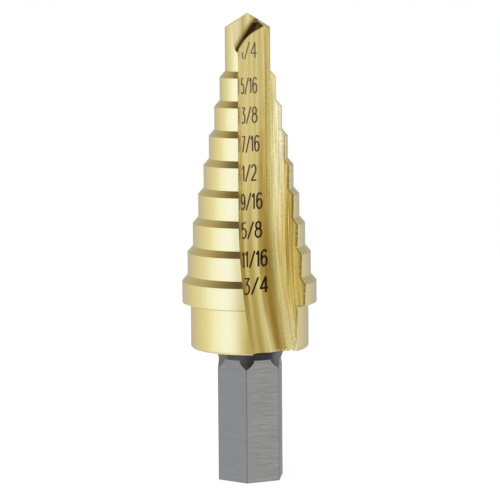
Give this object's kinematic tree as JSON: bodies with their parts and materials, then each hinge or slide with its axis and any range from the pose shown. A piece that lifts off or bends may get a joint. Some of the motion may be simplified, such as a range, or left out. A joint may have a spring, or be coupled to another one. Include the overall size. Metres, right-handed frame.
{
  "type": "step drill",
  "caption": "Stepped cone drill for sheet metal with a split point, straight flutes and a hexagonal shank, in coated steel.",
  "frame": {"origin": "centre of the hexagonal shank's flat end face, on the drill's axis", "axes": "+Z along the axis from the shank to the point; the first flute opens towards -Y and its rake face looks along +X"},
  "size_m": [0.019, 0.019, 0.0661],
  "materials": {
    "coated_steel": "pale gold nitride coat over ground steel, with a bare grey steel shank below the collar"
  },
  "bodies": {
    "root": {"step_drill": "coated_steel"}
  },
  "joints": []
}
